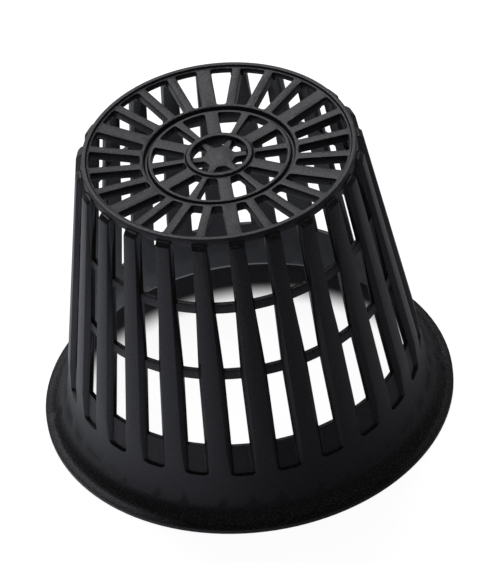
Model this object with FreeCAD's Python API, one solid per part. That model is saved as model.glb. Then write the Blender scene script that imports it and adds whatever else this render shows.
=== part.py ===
import FreeCAD, Part
import math
import os

# Hydroponic net pot: one injection moulded cup, standing upside down on its flared rim.
# +Z is up and is the axis of the cup; z = 0 is the plane of the rim's land; millimetres.
# The slotted wall narrows towards the grid of the base, which is at the top in this pose.

Vector = FreeCAD.Vector
AXIS = Vector(0, 0, 1)
os.makedirs("parts", exist_ok=True)

# ---------------------------------------------------------------- driving dimensions
height = 83.5            # rim's land to the top of the foot ring
rim_dia = 108.0          # outside of the flared rim
lip_edge = 1.3           # height of the rim's outer edge
land_width = 2.6         # flat land under the rim

neck_dia = 91.7          # outside of the wall where the straight bars end
neck_height = 20.5       # height of that line
collar_foot = 12.6       # lower end of the plain collar below it, where the flare begins
collar_draft = 0.076     # widening of the collar, per unit of height
base_dia = 73.2          # across the faces of the bars, at the level of the base's top edge
wall = 1.2               # thickness of hoops, band and pocket floors
flare_turn = 20.0        # where the flare's long upper arc meets the tight one, degrees from upright
flare_steps = 5          # straight steps that the tight arc is made in
flare_wall = 1.6         # thickness of the skirt where the two arcs meet

bar_count = 24           # upright bars, one behind each spoke
bar_proud = 1.45         # how far the bars stand out from hoops and band
bar_face_top = 3.6       # width of a bar's face at the base
bar_face_low = 4.7       # width of a bar's face at the foot of the slots
shoulder_drop = 1.4      # top of the bars, below the foot ring's top
shoulder_bevel = 1.0     # broken upper ends of the bars

slot_foot = 21.4         # lower end of the slots
band_depth = 2.1         # closed band below the foot ring's top
slot_width_foot = 5.0    # width between the bars' roots at the pockets' foot
slot_width_low = 4.15    # clear width of the slots at the lower hoop
slot_width_high = 5.1    # ... at the upper hoop
slot_width_top = 5.2     # ... at the band
hoop_heights = (43.2, 62.9)   # middles of the two hoops
hoop_depth = 2.6         # height of a hoop
pocket_foot = 13.2       # lower end of the shallow pocket below each slot
pocket_corner = 2.0      # rounding of a pocket's lower corners

grid_level = 81.4        # upper face of the grid inside the middle ring
grid_depth = 2.4         # depth of rings and spokes
dish_slope = 0.093       # rise of the outer spokes, per unit of radius
foot_width = 1.1         # width of the raised foot ring
ring_inner = 17.4        # middle ring, inner radius
ring_outer = 20.3        # middle ring, outer radius
groove_width = 1.2       # groove round the middle ring
groove_depth = 0.9
outer_ledge = 0.6        # ledge between the outer openings and the foot ring
hub_outer = 8.8          # hub ring, outer radius
hub_inner = 7.3          # hub ring, inner radius
hub_proud = 0.6          # hub ring above the inner spokes
hub_draft = 0.6          # slope of the hub ring's outer side
hub_sink = 0.4           # centre plate below the inner spokes
plate_half = 3.9         # centre plate, half of its width across flats

strong_count = 6         # wide spokes
strong_width = 3.7       # wide spoke, outside the middle ring
strong_width_in = 3.4    # wide spoke, inside the middle ring
spoke_width = 2.3        # narrow spoke, outside the middle ring
spoke_width_mid = 2.2    # narrow spoke, at the middle ring's inner side
spoke_width_hub = 1.4    # narrow spoke, at the hub ring
web_width = 2.0          # webs between the hub ring and the centre plate
corner_bevel = 0.4       # broken corners of the grid's openings

# ---------------------------------------------------------------- derived
rim_r = rim_dia / 2
neck_r = neck_dia / 2
base_r = base_dia / 2
collar_r = neck_r + collar_draft * (neck_height - collar_foot)
pitch = 360.0 / bar_count
taper = (neck_r - base_r) / (height - neck_height)
band_foot = height - band_depth
bar_top = height - shoulder_drop
ring_middle = (ring_inner + ring_outer) / 2
foot_draft = 0.15        # draft of the foot ring's inner side
clear = 3.0              # how far the cutting tools reach past what they cut


def bar_r(z):
    """Radius of the bars' faces at height z, on the straight cone."""
    return base_r + taper * (height - z)


def floor_r(z):
    """Radius of the outer face of hoops, band and pocket floors."""
    return bar_r(z) - bar_proud


def inner_r(z):
    """Radius of the smooth inside of the cup."""
    return floor_r(z) - wall


def flare_radii():
    """Radii of the flare's two arcs: tangent to the collar, to each other and level at the lip."""
    start = math.atan(collar_draft)
    turn = math.radians(flare_turn)
    reach = rim_r - collar_r
    drop = collar_foot - lip_edge
    # reach = a (cos start - cos turn) + b cos turn, drop = a (sin turn - sin start) + b (1 - sin turn)
    m11 = math.cos(start) - math.cos(turn)
    m12 = math.cos(turn)
    m21 = math.sin(turn) - math.sin(start)
    m22 = 1 - math.sin(turn)
    whole = m11 * m22 - m12 * m21
    upper = (reach * m22 - m12 * drop) / whole
    lower = (m11 * drop - m21 * reach) / whole
    return upper, lower


def skirt_r(z):
    """Radius of the outside at height z, for the bars' cone and the collar below it."""
    if z >= neck_height:
        return bar_r(z)
    return neck_r + collar_draft * (neck_height - z)


def flare_line():
    """Outer line of the skirt, from the lip's upper edge up to the collar: points spaced evenly
    on the tight arc, then one straight stretch along the long gentle arc."""
    upper_radius, lower_radius = flare_radii()
    centre = at(rim_r, lip_edge + lower_radius)
    sweep = 90 - flare_turn
    points = []
    for i in range(flare_steps + 1):
        a = math.radians(270 - sweep * i / flare_steps)
        points.append(centre + at(lower_radius * math.cos(a), lower_radius * math.sin(a)))
    return points + [at(collar_r, collar_foot)]


def at(r, z):
    return Vector(r, 0, z)


def dish_z(r):
    """Upper face of the outer spokes, a shallow cone that rises to the foot ring."""
    return grid_level + 0.2 + dish_slope * (r - ring_middle)


def wire_through(items):
    """Closed wire through points and arcs, with a straight line across each gap."""
    starts = [item.StartPoint if isinstance(item, Part.Arc) else item for item in items]
    ends = [item.EndPoint if isinstance(item, Part.Arc) else item for item in items]
    edges = []
    for i, item in enumerate(items):
        if isinstance(item, Part.Arc):
            edges.append(item.toShape())
        follower = starts[(i + 1) % len(items)]
        if ends[i].distanceToPoint(follower) > 1e-6:
            edges.append(Part.makeLine(ends[i], follower))
    return Part.Wire(edges)


def blank():
    """The whole cup as one turned body, before any opening is cut."""
    foot_in = floor_r(height) - foot_width
    dish_out = foot_in - foot_draft
    groove_half = groove_width / 2
    slant = groove_width / 4
    plate_z = grid_level - hub_sink
    under_in = grid_level - grid_depth
    under_out = dish_z(dish_out) - grid_depth
    flare = flare_line()
    turn = math.radians(flare_turn)
    bend = flare[flare_steps] - at(flare_wall * math.cos(turn), flare_wall * math.sin(turn))
    items = [
        at(0, under_in),
        at(ring_middle, under_in),
        at(inner_r(under_out), under_out),
        at(inner_r(collar_foot), collar_foot),
        bend,
        at(rim_r - land_width, 0),
        at(rim_r, 0),
        *flare,
        at(neck_r, neck_height),
        at(bar_r(bar_top - shoulder_bevel), bar_top - shoulder_bevel),
        at(bar_r(bar_top) - 0.8 * shoulder_bevel, bar_top),
        at(floor_r(bar_top), bar_top),
        at(floor_r(height), height),
        at(foot_in, height),
        at(dish_out, dish_z(dish_out)),
        at(ring_middle + groove_half, dish_z(ring_middle + groove_half)),
        at(ring_middle + groove_half - slant, grid_level - groove_depth),
        at(ring_middle - groove_half + slant, grid_level - groove_depth),
        at(ring_middle - groove_half, grid_level),
        at(hub_outer, grid_level),
        at(hub_outer - hub_draft * hub_proud, grid_level + hub_proud),
        at(hub_inner, grid_level + hub_proud),
        at(hub_inner - 0.35, plate_z),
        at(0, plate_z),
    ]
    face = Part.Face(wire_through(items))
    return face.revolve(Vector(0, 0, 0), AXIS, 360)


def slot_section(z, width, face):
    """Section of the cut between two bars: parallel sides through the wall, then the bars'
    drafted flanks. x runs outwards, y sideways."""
    outside = bar_r(z)
    swing = math.pi / bar_count - face / 2 / outside
    outward = Vector(math.cos(swing), math.sin(swing), 0)
    root = Vector(floor_r(z), width / 2, z)
    heart = Vector(inner_r(z) - clear, width / 2, z)
    edge = Vector(0, 0, z) + outward * outside
    right = [heart, root, edge, edge + outward * clear]
    left = [Vector(p.x, -p.y, p.z) for p in reversed(right)]
    return wire_through(right + left)


def bar_face(z):
    """Width of a bar's face, which widens evenly from the base down to the slots' foot."""
    share = (height - z) / (height - slot_foot)
    return bar_face_top + (bar_face_low - bar_face_top) * share


def ring_body(low, high, radius_of):
    """Turned body from the axis out to a given radius, between two heights."""
    points = [
        Vector(0, 0, low),
        Vector(radius_of(low), 0, low),
        Vector(radius_of(high), 0, high),
        Vector(0, 0, high),
    ]
    face = Part.Face(Part.makePolygon(points + points[:1]))
    return face.revolve(Vector(0, 0, 0), AXIS, 360)


def pocket_tongue():
    """Body that limits the cut: open at the top, round corners at the pocket's foot."""
    start_x = inner_r(height) - 2 * clear
    end_x = skirt_r(pocket_foot) + clear
    half = math.pi * skirt_r(pocket_foot) / bar_count - bar_face(pocket_foot) / 2
    mid = pocket_foot + pocket_corner
    bend = pocket_corner * (1 - math.cos(math.pi / 4))
    right = [
        Part.Arc(
            Vector(start_x, half - pocket_corner, pocket_foot),
            Vector(start_x, half - bend, pocket_foot + bend),
            Vector(start_x, half, mid),
        ),
        Vector(start_x, half, height + clear),
    ]
    left = [
        Vector(start_x, -half, height + clear),
        Part.Arc(
            Vector(start_x, -half, mid),
            Vector(start_x, bend - half, pocket_foot + bend),
            Vector(start_x, pocket_corner - half, pocket_foot),
        ),
    ]
    return Part.Face(wire_through(right + left)).extrude(Vector(end_x - start_x, 0, 0))


def side_cut():
    """All that is taken away between two bars: three windows, hoops' set-back, pocket."""
    levels = [
        (pocket_foot - 1.0, slot_width_foot),
        (hoop_heights[0], slot_width_low),
        (hoop_heights[1], slot_width_high),
        (height + 1.0, slot_width_top),
    ]
    sections = [slot_section(z, width, bar_face(z)) for z, width in levels]
    cut = Part.makeLoft(sections, True, True)
    cut = cut.common(pocket_tongue())
    keep = [
        ring_body(pocket_foot - 2.0, slot_foot, floor_r),
        ring_body(band_foot, height + 2.0, floor_r),
    ]
    for middle in hoop_heights:
        keep.append(ring_body(middle - hoop_depth / 2, middle + hoop_depth / 2, floor_r))
    return cut.cut(keep)


def turned(shape, angle):
    other = shape.copy()
    other.rotate(Vector(0, 0, 0), AXIS, angle)
    return other


def edge_point(radius, offset, angle):
    """Point on a circle, at a given distance to the left of the ray at an angle."""
    a = math.radians(angle)
    along = math.sqrt(radius * radius - offset * offset)
    return Vector(
        along * math.cos(a) - offset * math.sin(a),
        along * math.sin(a) + offset * math.cos(a),
        0,
    )


def grid_opening(r_in, r_out, angle_a, half_a, angle_b, half_b):
    """Opening between the spokes at two angles; the half widths are (inner, outer) pairs."""
    p1 = edge_point(r_in, half_a[0], angle_a)
    p2 = edge_point(r_out, half_a[1], angle_a)
    p3 = edge_point(r_out, -half_b[1], angle_b)
    p4 = edge_point(r_in, -half_b[0], angle_b)
    m = math.radians((angle_a + angle_b) / 2)
    far = Vector(r_out * math.cos(m), r_out * math.sin(m), 0)
    near = Vector(r_in * math.cos(m), r_in * math.sin(m), 0)
    outline = wire_through([p1, Part.Arc(p2, far, p3), Part.Arc(p4, near, p1)])
    return standing(Part.Face(outline))


def standing(face):
    """Prism through the whole depth of the grid, with its upright edges broken."""
    low = grid_level - grid_depth - clear
    prism = face.extrude(Vector(0, 0, height + clear - low))
    prism.translate(Vector(0, 0, low))
    upright = [e for e in prism.Edges if abs(e.tangentAt(e.FirstParameter).z) > 0.99]
    return prism.makeChamfer(corner_bevel, upright)


def hub_opening():
    """Opening of the hub, in line with a wide spoke: flat side in, round side out."""
    spread = 180.0 / strong_count
    side = math.radians(spread)
    # the web's edge runs parallel to the web's own ray, half its width away
    inner_y = (plate_half * math.sin(side) - web_width / 2) / math.cos(side)
    outer = edge_point(hub_inner, -web_width / 2, spread)
    mirror = Vector(outer.x, -outer.y, 0)
    outline = wire_through([
        Vector(plate_half, -inner_y, 0),
        Part.Arc(mirror, Vector(hub_inner, 0, 0), outer),
        Vector(plate_half, inner_y, 0),
    ])
    return standing(Part.Face(outline))


def grid_cuts():
    """Openings of the base: outer zone, zone inside the middle ring, and hub."""
    step = bar_count // strong_count
    outer_r = floor_r(height) - foot_width - foot_draft - outer_ledge
    wide = (strong_width / 2, strong_width / 2)
    slim = (spoke_width / 2, spoke_width / 2)
    cuts = []
    for i in range(bar_count):
        here = wide if i % step == 0 else slim
        there = wide if (i + 1) % step == 0 else slim
        start = -90 + i * pitch
        cuts.append(grid_opening(ring_outer, outer_r, start, here, start + pitch, there))
    wide_in = (strong_width_in / 2, strong_width_in / 2)
    slim_in = (spoke_width_hub / 2, spoke_width_mid / 2)
    half_step = 180.0 / strong_count
    inner = grid_opening(hub_outer + 0.3, ring_inner, 0, wide_in, half_step, slim_in)
    other = inner.mirror(Vector(0, 0, 0), Vector(0, 1, 0))
    hub = hub_opening()
    for i in range(strong_count):
        angle = -90 + i * 360.0 / strong_count
        cuts.append(turned(inner, angle))
        cuts.append(turned(other, angle))
        cuts.append(turned(hub, angle))
    return cuts


def net_pot():
    cup = blank()
    side = side_cut()
    sides = [turned(side, -90 + (i + 0.5) * pitch) for i in range(bar_count)]
    cup = cup.cut(sides)
    cup = cup.cut(grid_cuts())
    cup = cup.removeSplitter()
    return cup.Solids[0] if len(cup.Solids) == 1 else cup


pot = net_pot()
pot.exportStep("parts/net_pot.step")
print("solids", len(pot.Solids), "valid", pot.isValid(), "volume mm3", round(pot.Volume))
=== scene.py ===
"""Hydroponic net pot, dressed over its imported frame: moulded cup, studio floor, light and camera.

Run as a script it builds the whole scene; the operators can also be run one by one from the
sidebar. Lengths are in metres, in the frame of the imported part: +Z is the cup's axis and the
flared rim stands on the floor at z = 0.
"""

import math

import bpy
from mathutils import Matrix, Vector


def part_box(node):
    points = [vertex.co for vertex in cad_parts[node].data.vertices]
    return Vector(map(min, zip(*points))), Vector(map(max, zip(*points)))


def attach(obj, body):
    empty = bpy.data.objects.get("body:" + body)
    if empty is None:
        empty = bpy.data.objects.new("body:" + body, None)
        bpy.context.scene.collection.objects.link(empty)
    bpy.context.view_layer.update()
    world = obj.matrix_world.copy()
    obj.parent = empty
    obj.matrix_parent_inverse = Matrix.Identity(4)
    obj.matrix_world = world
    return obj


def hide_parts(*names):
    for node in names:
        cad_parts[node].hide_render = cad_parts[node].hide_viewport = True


bl_info = {
    "name": "Net pot studio",
    "version": (1, 0, 0),
    "blender": (4, 5, 0),
    "location": "3D View > Sidebar > Net pot",
    "description": "Dresses the packed net pot and sets it in a plain studio",
    "category": "Object",
}

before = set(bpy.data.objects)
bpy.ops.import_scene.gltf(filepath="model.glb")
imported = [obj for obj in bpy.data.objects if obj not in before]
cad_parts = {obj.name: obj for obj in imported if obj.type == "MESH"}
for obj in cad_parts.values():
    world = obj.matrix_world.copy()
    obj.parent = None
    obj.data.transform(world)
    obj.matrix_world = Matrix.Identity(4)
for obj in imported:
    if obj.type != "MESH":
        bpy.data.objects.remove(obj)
CAD_LOW, CAD_HIGH = (Vector(corner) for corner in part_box("net_pot"))
RIM_RADIUS = (CAD_HIGH.x - CAD_LOW.x) / 2
CUP_HEIGHT = CAD_HIGH.z - CAD_LOW.z
FLOOR_LEVEL = CAD_LOW.z

MERGE_DISTANCE = 0.00001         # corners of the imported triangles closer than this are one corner
SMOOTH_ANGLE = math.radians(50)  # faces that meet at less than this are shaded as one surface
LAND_WIDTH = 0.002               # the rim hides at least this much of the floor beside its edge
# the painted shade inside the cup, where the floor's lift to white is taken away
PAINTED_SHADE_BLUR = 0.009               # width of the soft edge of the shade inside the cup
# way across the floor of the painted reflection glow, which grows brighter along it
PAINTED_LIGHT_WAY = (-1.0, 0.25, 0.0)   # way along the floor in which its reflections grow brighter


# ---------------------------------------------------------------- settings
class CupSettings(bpy.types.PropertyGroup):
    """Sizes and finish of the moulded cup."""

    edge_round: bpy.props.FloatProperty(
        name="Edge rounding",
        description="Width of the soft rounding that moulding leaves on every edge",
        default=0.00012,
        min=0.0,
        subtype="DISTANCE",
        unit="LENGTH",
    )
    edge_angle: bpy.props.FloatProperty(
        name="Edge angle",
        description="Faces that meet at more than this angle get a rounded edge",
        default=math.radians(30),
        subtype="ANGLE",
        unit="ROTATION",
    )
    plastic_color: bpy.props.FloatVectorProperty(
        name="Plastic",
        description="Colour of the black plastic",
        default=(0.004, 0.004, 0.0048),
        min=0.0,
        max=1.0,
        subtype="COLOR",
    )
    dust_color: bpy.props.FloatVectorProperty(
        name="Scuffs",
        description="Colour of the paler rubbed and dusty plastic",
        default=(0.14, 0.142, 0.152),
        min=0.0,
        max=1.0,
        subtype="COLOR",
    )
    # the pale speckle and flecks are laid on weaker on upright faces and stronger on faces that look up
    speckle_sides: bpy.props.FloatProperty(
        name="Scuffs on walls",
        description="How strongly the upright faces are rubbed",
        default=0.14,
        min=0.0,
        max=1.0,
    )
    speckle_top: bpy.props.FloatProperty(
        name="Scuffs on top",
        description="How strongly the faces that look up are rubbed",
        default=0.5,
        min=0.0,
        max=1.0,
    )
    rough_low: bpy.props.FloatProperty(
        name="Roughness, smooth patches",
        description="Roughness where the mould left the plastic smoothest",
        default=0.3,
        min=0.0,
        max=1.0,
    )
    rough_high: bpy.props.FloatProperty(
        name="Roughness, dull patches",
        description="Roughness where the mould left the plastic dullest",
        default=0.42,
        min=0.0,
        max=1.0,
    )
    gate_height: bpy.props.FloatProperty(
        name="Gate mark height",
        description="Height of the mark that the mould's gate left at the centre of the base",
        default=CUP_HEIGHT - 0.0025,
        subtype="DISTANCE",
        unit="LENGTH",
    )
    gate_core: bpy.props.FloatProperty(
        name="Gate mark core",
        description="Radius within which the gate mark is palest",
        default=0.0004,
        subtype="DISTANCE",
        unit="LENGTH",
    )
    gate_edge: bpy.props.FloatProperty(
        name="Gate mark edge",
        description="Radius at which the gate mark has faded out",
        default=0.0014,
        subtype="DISTANCE",
        unit="LENGTH",
    )
    grain_depth: bpy.props.FloatProperty(
        name="Grain depth",
        description="Depth of the mould's matte texture",
        default=0.00012,
        min=0.0,
        subtype="DISTANCE",
        unit="LENGTH",
    )
    grain_size: bpy.props.FloatProperty(
        name="Grain size",
        description="Size of one grain of the mould's matte texture",
        default=0.00045,
        min=0.00005,
        subtype="DISTANCE",
        unit="LENGTH",
    )


class StudioSettings(bpy.types.PropertyGroup):
    """Floor, lights and camera."""

    floor_radius: bpy.props.FloatProperty(
        name="Floor radius",
        description="Radius of the round studio floor",
        default=30 * RIM_RADIUS,
        subtype="DISTANCE",
        unit="LENGTH",
    )
    floor_color: bpy.props.FloatVectorProperty(
        name="Floor",
        description="Colour of the pale floor",
        default=(0.62, 0.62, 0.63),
        min=0.0,
        max=1.0,
        subtype="COLOR",
    )
    room_light: bpy.props.FloatProperty(
        name="Room light",
        description="Strength of the room's even light",
        default=0.08,
        min=0.0,
    )
    floor_white: bpy.props.FloatProperty(
        name="Floor white",
        description="Brightness that lifts the lit floor to white for the camera",
        default=0.93,
        min=0.0,
    )
    # painted reflection: colour of the glow that reflections see on the floor
    glow_color: bpy.props.FloatVectorProperty(
        name="Floor tint",
        description="Faintly cool tint of the floor in reflections",
        default=(0.88, 0.92, 1.0),
        min=0.0,
        max=1.0,
        subtype="COLOR",
    )
    # painted shade: the floor's lift to white is taken away inside the cup beside the back wall
    painted_shade_shift: bpy.props.FloatProperty(
        name="Shade shift",
        description="How far the lit floor inside the cup lies from the middle, away from the back wall",
        default=0.008,
        subtype="DISTANCE",
        unit="LENGTH",
    )
    # painted light and shade seen only in reflections: the floor's glow is bright at the left and dim at
    # the right
    painted_light_left: bpy.props.FloatProperty(
        name="Floor left",
        description="Brightness of the floor's left side in reflections",
        default=0.5,
        min=0.0,
    )
    painted_light_right: bpy.props.FloatProperty(
        name="Floor right",
        description="Brightness of the floor's right side in reflections",
        default=0.1,
        min=0.0,
    )
    key_power: bpy.props.FloatProperty(
        name="Key light",
        description="Power of the soft light high above and behind the cup",
        default=1.2,
        min=0.0,
        unit="POWER",
    )
    back_power: bpy.props.FloatProperty(
        name="Back light",
        description="Power of the wide soft light further back and lower",
        default=1.9,
        min=0.0,
        unit="POWER",
    )
    camera_distance: bpy.props.FloatProperty(
        name="Camera distance",
        description="Distance from the camera to the point it looks at",
        default=1.36907,
        subtype="DISTANCE",
        unit="LENGTH",
    )
    camera_height: bpy.props.FloatProperty(
        name="Camera height",
        description="Height of the camera above the floor",
        default=0.9325,
        subtype="DISTANCE",
        unit="LENGTH",
    )
    camera_azimuth: bpy.props.FloatProperty(
        name="Camera azimuth",
        description="Angle of the camera round the cup, from straight in front",
        default=math.radians(-2.35),
        subtype="ANGLE",
        unit="ROTATION",
    )
    camera_roll: bpy.props.FloatProperty(
        name="Camera roll",
        description="Tilt of the camera about its line of sight",
        default=math.radians(-7.175),
        subtype="ANGLE",
        unit="ROTATION",
    )
    camera_lens: bpy.props.FloatProperty(
        name="Lens",
        description="Focal length of the camera",
        default=337.7,
        subtype="DISTANCE_CAMERA",
        unit="CAMERA",
    )
    target: bpy.props.FloatVectorProperty(
        name="Target",
        description="Point the camera looks at, seen from its own azimuth",
        default=(0.00235, 0.0, 0.03841),
        subtype="TRANSLATION",
        unit="LENGTH",
    )


# ---------------------------------------------------------------- helpers
def only(item):
    """Selects one object and makes it the active one."""
    bpy.ops.object.select_all(action="DESELECT")
    item.select_set(True)
    bpy.context.view_layer.objects.active = item


def link(tree, source, target):
    tree.links.new(source, target)


def fade_between(tree, value, start, end, low, high):
    """Output that goes smoothly from low at start to high at end as the value rises."""
    fade = tree.nodes.new("ShaderNodeMapRange")
    fade.interpolation_type = "SMOOTHSTEP"
    fade.inputs["From Min"].default_value = start
    fade.inputs["From Max"].default_value = end
    fade.inputs["To Min"].default_value = low
    fade.inputs["To Max"].default_value = high
    link(tree, value, fade.inputs["Value"])
    return fade.outputs["Result"]


def distance(tree, place, point):
    """Output that is the distance of a place from one point."""
    away = tree.nodes.new("ShaderNodeVectorMath")
    away.operation = "DISTANCE"
    away.inputs[1].default_value = point
    link(tree, place, away.inputs[0])
    return away.outputs["Value"]


def seen_directly(tree):
    """Value that is 1 for rays from the camera and through clear matter, and 0 for others."""
    path = tree.nodes.new("ShaderNodeLightPath")
    seen = tree.nodes.new("ShaderNodeMath")
    seen.operation = "MAXIMUM"
    link(tree, path.outputs["Is Camera Ray"], seen.inputs[0])
    link(tree, path.outputs["Is Transmission Ray"], seen.inputs[1])
    return path, seen.outputs["Value"]


def aim(item, target, roll=0.0):
    """Turns a lamp or the camera towards a point, then about its own line of sight."""
    turn = (Vector(target) - item.location).to_track_quat("-Z", "Y")
    item.rotation_mode = "QUATERNION"
    item.rotation_quaternion = turn @ Matrix.Rotation(roll, 3, "Z").to_quaternion()


# ---------------------------------------------------------------- materials
def grain_group():
    """Node group: fine mould grain, slow moulding waves and pale scuffs of the black plastic."""
    name = "moulded_grain"
    if name in bpy.data.node_groups:
        return bpy.data.node_groups[name]
    group = bpy.data.node_groups.new(name, "ShaderNodeTree")
    sockets = group.interface
    scales = (
        ("Grain Scale", 2000.0), ("Wave Scale", 40.0), ("Speckle Scale", 2200.0), ("Fleck Scale", 260.0))
    for label, default in scales:
        socket = sockets.new_socket(name=label, in_out="INPUT", socket_type="NodeSocketFloat")
        socket.default_value = default
    sockets.new_socket(name="Place", in_out="INPUT", socket_type="NodeSocketVector")
    for label in ("Height", "Wave", "Scuff"):
        sockets.new_socket(name=label, in_out="OUTPUT", socket_type="NodeSocketFloat")
    nodes = group.nodes
    inputs = nodes.new("NodeGroupInput")
    outputs = nodes.new("NodeGroupOutput")

    grain = nodes.new("ShaderNodeTexNoise")
    grain.inputs["Detail"].default_value = 3.0
    grain.inputs["Roughness"].default_value = 0.6
    link(group, inputs.outputs["Place"], grain.inputs["Vector"])
    link(group, inputs.outputs["Grain Scale"], grain.inputs["Scale"])
    link(group, grain.outputs["Fac"], outputs.inputs["Height"])

    wave = nodes.new("ShaderNodeTexNoise")
    wave.inputs["Detail"].default_value = 2.0
    link(group, inputs.outputs["Place"], wave.inputs["Vector"])
    link(group, inputs.outputs["Wave Scale"], wave.inputs["Scale"])
    link(group, wave.outputs["Fac"], outputs.inputs["Wave"])

    # fine speckle all over, and a few larger pale flecks where the surface was knocked
    masks = []
    kinds = (("Speckle Scale", 1.0, 0.45, 0.72), ("Fleck Scale", 3.0, 0.68, 0.76))
    for scale, detail, low, high in kinds:
        scuff = nodes.new("ShaderNodeTexNoise")
        scuff.inputs["Detail"].default_value = detail
        link(group, inputs.outputs["Place"], scuff.inputs["Vector"])
        link(group, inputs.outputs[scale], scuff.inputs["Scale"])
        masks.append(fade_between(group, scuff.outputs["Fac"], low, high, 0.0, 1.0))
    scuffs = nodes.new("ShaderNodeMath")
    scuffs.operation = "MAXIMUM"
    link(group, masks[0], scuffs.inputs[0])
    link(group, masks[1], scuffs.inputs[1])
    link(group, scuffs.outputs["Value"], outputs.inputs["Scuff"])
    return group


def black_plastic(settings):
    """Matte black moulded plastic with a fine grain, faint pale scuffs and a gate mark."""
    material = bpy.data.materials.new("black_plastic")
    material.use_nodes = True
    tree = material.node_tree
    shader = tree.nodes["Principled BSDF"]
    place = tree.nodes.new("ShaderNodeTexCoord")
    grain = tree.nodes.new("ShaderNodeGroup")
    grain.node_tree = grain_group()
    grain.inputs["Grain Scale"].default_value = 1.0 / settings.grain_size
    link(tree, place.outputs["Object"], grain.inputs["Place"])

    # the pale speckle and flecks show stronger on the faces that look up, and the plastic is paler round
    # the gate
    facing = tree.nodes.new("ShaderNodeSeparateXYZ")
    link(tree, place.outputs["Normal"], facing.inputs["Vector"])
    upward = fade_between(
        tree, facing.outputs["Z"], 0.3, 0.95, settings.speckle_sides, settings.speckle_top)
    amount = tree.nodes.new("ShaderNodeMath")
    amount.operation = "MULTIPLY"
    link(tree, grain.outputs["Scuff"], amount.inputs[0])
    link(tree, upward, amount.inputs[1])
    gate = distance(tree, place.outputs["Object"], (0, 0, settings.gate_height))
    gate_mark = fade_between(tree, gate, settings.gate_core, settings.gate_edge, 0.5, 0.0)
    worn = tree.nodes.new("ShaderNodeMath")
    worn.operation = "MAXIMUM"
    link(tree, amount.outputs["Value"], worn.inputs[0])
    link(tree, gate_mark, worn.inputs[1])
    tint = tree.nodes.new("ShaderNodeMix")
    tint.data_type = "RGBA"
    tint.inputs["A"].default_value = (*settings.plastic_color, 1)
    tint.inputs["B"].default_value = (*settings.dust_color, 1)
    link(tree, worn.outputs["Value"], tint.inputs["Factor"])
    link(tree, tint.outputs["Result"], shader.inputs["Base Color"])

    rough = tree.nodes.new("ShaderNodeMapRange")
    rough.inputs["To Min"].default_value = settings.rough_low
    rough.inputs["To Max"].default_value = settings.rough_high
    link(tree, grain.outputs["Wave"], rough.inputs["Value"])
    link(tree, rough.outputs["Result"], shader.inputs["Roughness"])

    bump = tree.nodes.new("ShaderNodeBump")
    bump.inputs["Strength"].default_value = 0.7
    bump.inputs["Distance"].default_value = settings.grain_depth
    link(tree, grain.outputs["Height"], bump.inputs["Height"])
    link(tree, bump.outputs["Normal"], shader.inputs["Normal"])
    shader.inputs["Specular IOR Level"].default_value = 0.5
    shader.inputs["Specular Tint"].default_value = (0.93, 0.91, 1.0, 1.0)
    return material


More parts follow.
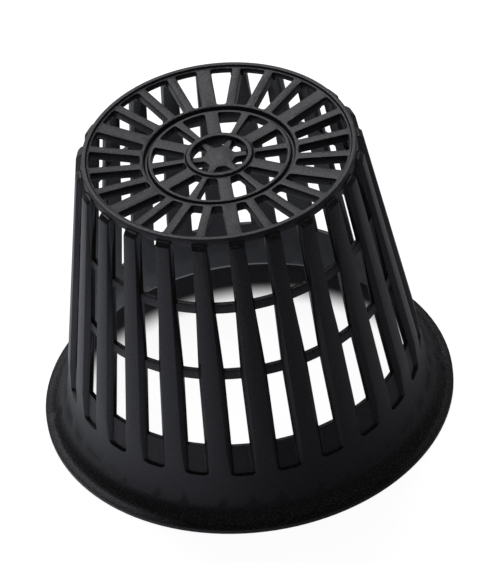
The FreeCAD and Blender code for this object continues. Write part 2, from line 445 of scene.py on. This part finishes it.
def floor_white(settings):
    """Plain pale floor: white to the camera, with a painted shade inside the cup; in reflections a
    painted glow, dimmer and faintly cool.
    """
    material = bpy.data.materials.new("floor_white")
    material.use_nodes = True
    tree = material.node_tree
    shader = tree.nodes["Principled BSDF"]
    shader.inputs["Base Color"].default_value = (*settings.floor_color, 1)
    shader.inputs["Roughness"].default_value = 0.9
    shader.inputs["Specular IOR Level"].default_value = 0.1
    # the camera sees the floor lit up to white; reflections see a painted glow on it, a painted
    # light pale at the left and a painted shade dimmer to the right and in front, where the cup keeps
    # the light off
    path, seen = seen_directly(tree)
    place = tree.nodes.new("ShaderNodeTexCoord")
    across = tree.nodes.new("ShaderNodeVectorMath")
    across.operation = "DOT_PRODUCT"
    across.inputs[1].default_value = PAINTED_LIGHT_WAY
    link(tree, place.outputs["Object"], across.inputs[0])
    fade = fade_between(
        tree, across.outputs["Value"], -RIM_RADIUS, RIM_RADIUS,
        settings.painted_light_right, settings.painted_light_left)
    painted_reflection_glow = tree.nodes.new("ShaderNodeMath")
    painted_reflection_glow.operation = "MULTIPLY"
    link(tree, fade, painted_reflection_glow.inputs[0])
    link(tree, path.outputs["Is Glossy Ray"], painted_reflection_glow.inputs[1])
    # painted shade: inside the cup the floor's lift to white is taken away beside the back wall, where
    # the wall shades it
    under_rim = RIM_RADIUS - LAND_WIDTH
    reach = distance(tree, place.outputs["Object"], (0, 0, 0))
    outside = fade_between(tree, reach, under_rim, under_rim + LAND_WIDTH / 2, 0.0, 1.0)
    middle = distance(tree, place.outputs["Object"], (0, -settings.painted_shade_shift, 0))
    lit = fade_between(tree, middle, under_rim - PAINTED_SHADE_BLUR, under_rim, 1.0, 0.0)
    outside_painted_shade = tree.nodes.new("ShaderNodeMath")
    outside_painted_shade.operation = "MAXIMUM"
    link(tree, outside, outside_painted_shade.inputs[0])
    link(tree, lit, outside_painted_shade.inputs[1])
    lifted = tree.nodes.new("ShaderNodeMath")
    lifted.operation = "MULTIPLY"
    link(tree, seen, lifted.inputs[0])
    link(tree, outside_painted_shade.outputs["Value"], lifted.inputs[1])
    strength = tree.nodes.new("ShaderNodeMath")
    strength.operation = "MULTIPLY_ADD"
    strength.inputs[1].default_value = settings.floor_white
    link(tree, lifted.outputs["Value"], strength.inputs[0])
    link(tree, painted_reflection_glow.outputs["Value"], strength.inputs[2])
    # the floor's emission: an even lift to white for the camera, less the painted shade, and the painted
    # reflection glow for reflections
    glow = tree.nodes.new("ShaderNodeEmission")
    hue = tree.nodes.new("ShaderNodeMix")
    hue.data_type = "RGBA"
    hue.inputs["A"].default_value = (1, 1, 1, 1)
    hue.inputs["B"].default_value = (*settings.glow_color, 1)
    link(tree, path.outputs["Is Glossy Ray"], hue.inputs["Factor"])
    link(tree, hue.outputs["Result"], glow.inputs["Color"])
    link(tree, strength.outputs["Value"], glow.inputs["Strength"])
    both = tree.nodes.new("ShaderNodeAddShader")
    link(tree, shader.outputs["BSDF"], both.inputs[0])
    link(tree, glow.outputs["Emission"], both.inputs[1])
    link(tree, both.outputs["Shader"], tree.nodes["Material Output"].inputs["Surface"])
    return material


def studio_room(settings):
    """Surroundings: an even dim light on the cup, plain white to the camera."""
    world = bpy.data.worlds.new("studio")
    world.use_nodes = True
    tree = world.node_tree
    air = tree.nodes["Background"]
    air.inputs["Color"].default_value = (1, 1, 1, 1)
    air.inputs["Strength"].default_value = settings.room_light
    white = tree.nodes.new("ShaderNodeBackground")
    white.inputs["Color"].default_value = (1, 1, 1, 1)
    seen = seen_directly(tree)[1]
    mix = tree.nodes.new("ShaderNodeMixShader")
    link(tree, seen, mix.inputs["Fac"])
    link(tree, air.outputs["Background"], mix.inputs[1])
    link(tree, white.outputs["Background"], mix.inputs[2])
    link(tree, mix.outputs["Shader"], tree.nodes["World Output"].inputs["Surface"])
    return world


# ---------------------------------------------------------------- operators
class NETPOT_OT_cup(bpy.types.Operator):
    """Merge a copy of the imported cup, round its edges and give it its plastic"""

    bl_idname = "netpot.cup"
    bl_label = "Moulded cup"

    def execute(self, context):
        settings = context.scene.netpot_cup
        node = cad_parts["net_pot"]
        cup = bpy.data.objects.new("moulded_cup", node.data.copy())
        context.scene.collection.objects.link(cup)
        only(cup)
        bpy.ops.object.mode_set(mode="EDIT")
        bpy.ops.mesh.select_all(action="SELECT")
        bpy.ops.mesh.remove_doubles(threshold=MERGE_DISTANCE)
        bpy.ops.object.mode_set(mode="OBJECT")
        rounding = cup.modifiers.new("edge_rounding", "BEVEL")
        rounding.limit_method = "ANGLE"
        rounding.angle_limit = settings.edge_angle
        rounding.width = settings.edge_round
        rounding.segments = 2
        rounding.use_clamp_overlap = False
        bpy.ops.object.modifier_apply(modifier=rounding.name)
        bpy.ops.object.shade_smooth_by_angle(angle=SMOOTH_ANGLE)
        cup.data.materials.clear()
        cup.data.materials.append(black_plastic(settings))
        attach(cup, "root")
        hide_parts("net_pot")
        return {"FINISHED"}


class NETPOT_OT_stage(bpy.types.Operator):
    """Lay the pale floor and set the white surroundings"""

    bl_idname = "netpot.stage"
    bl_label = "Floor and surroundings"

    def execute(self, context):
        settings = context.scene.netpot_studio
        bpy.ops.object.select_all(action="DESELECT")
        bpy.ops.mesh.primitive_circle_add(
            vertices=96, radius=settings.floor_radius, fill_type="NGON",
            location=(0, 0, FLOOR_LEVEL))
        floor = context.object
        floor.name = "floor"
        floor.data.materials.append(floor_white(settings))

        context.scene.world = studio_room(settings)
        context.scene.view_settings.view_transform = "Standard"
        return {"FINISHED"}


class NETPOT_OT_lights(bpy.types.Operator):
    """Hang the soft studio lights"""

    bl_idname = "netpot.lights"
    bl_label = "Studio lights"

    def execute(self, context):
        settings = context.scene.netpot_studio
        middle = Vector((0, 0, CUP_HEIGHT / 2))
        # name, place, width across, power
        lamps = (
            ("key_light", (-0.10, 0.55, 0.85), 0.5, settings.key_power),
            ("back_light", (-0.05, 0.75, 0.68), 0.8, settings.back_power),
        )
        for name, place, size, power in lamps:
            bpy.ops.object.select_all(action="DESELECT")
            bpy.ops.object.light_add(type="AREA", location=place)
            lamp = context.object
            lamp.name = name
            lamp.data.shape = "DISK"
            lamp.data.size = size
            lamp.data.energy = power
            aim(lamp, middle)
        return {"FINISHED"}


class NETPOT_OT_camera(bpy.types.Operator):
    """Set the camera above and in front of the cup"""

    bl_idname = "netpot.camera"
    bl_label = "Camera"

    def execute(self, context):
        settings = context.scene.netpot_studio
        target = Vector(settings.target)
        rise = settings.camera_height - target.z
        back = math.sqrt(settings.camera_distance ** 2 - rise ** 2 - target.x ** 2)
        turn = Matrix.Rotation(settings.camera_azimuth, 3, "Z")
        bpy.ops.object.select_all(action="DESELECT")
        bpy.ops.object.camera_add(location=turn @ Vector((0, -back, settings.camera_height)))
        camera = context.object
        camera.name = "camera"
        camera.data.lens = settings.camera_lens
        camera.data.clip_end = 20
        aim(camera, turn @ target, settings.camera_roll)
        context.scene.camera = camera
        return {"FINISHED"}


# ---------------------------------------------------------------- sidebar
class NETPOT_PT_sidebar(bpy.types.Panel):
    """Lists the steps in the order they are run"""

    bl_label = "Net pot"
    bl_idname = "NETPOT_PT_sidebar"
    bl_space_type = "VIEW_3D"
    bl_region_type = "UI"
    bl_category = "Net pot"

    def draw(self, context):
        column = self.layout.column()
        for operator in STEPS:
            column.operator(operator.bl_idname)
        for group in (context.scene.netpot_cup, context.scene.netpot_studio):
            for key in group.__annotations__:
                column.prop(group, key)


STEPS = (NETPOT_OT_cup, NETPOT_OT_stage, NETPOT_OT_lights, NETPOT_OT_camera)
CLASSES = (CupSettings, StudioSettings, *STEPS, NETPOT_PT_sidebar)


def register():
    for cls in CLASSES:
        bpy.utils.register_class(cls)
    bpy.types.Scene.netpot_cup = bpy.props.PointerProperty(type=CupSettings)
    bpy.types.Scene.netpot_studio = bpy.props.PointerProperty(type=StudioSettings)


def unregister():
    del bpy.types.Scene.netpot_studio
    del bpy.types.Scene.netpot_cup
    for cls in reversed(CLASSES):
        bpy.utils.unregister_class(cls)


def main():
    register()
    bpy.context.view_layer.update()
    bpy.ops.netpot.cup()
    bpy.ops.netpot.stage()
    bpy.ops.netpot.lights()
    bpy.ops.netpot.camera()


if __name__ == "__main__":
    main()
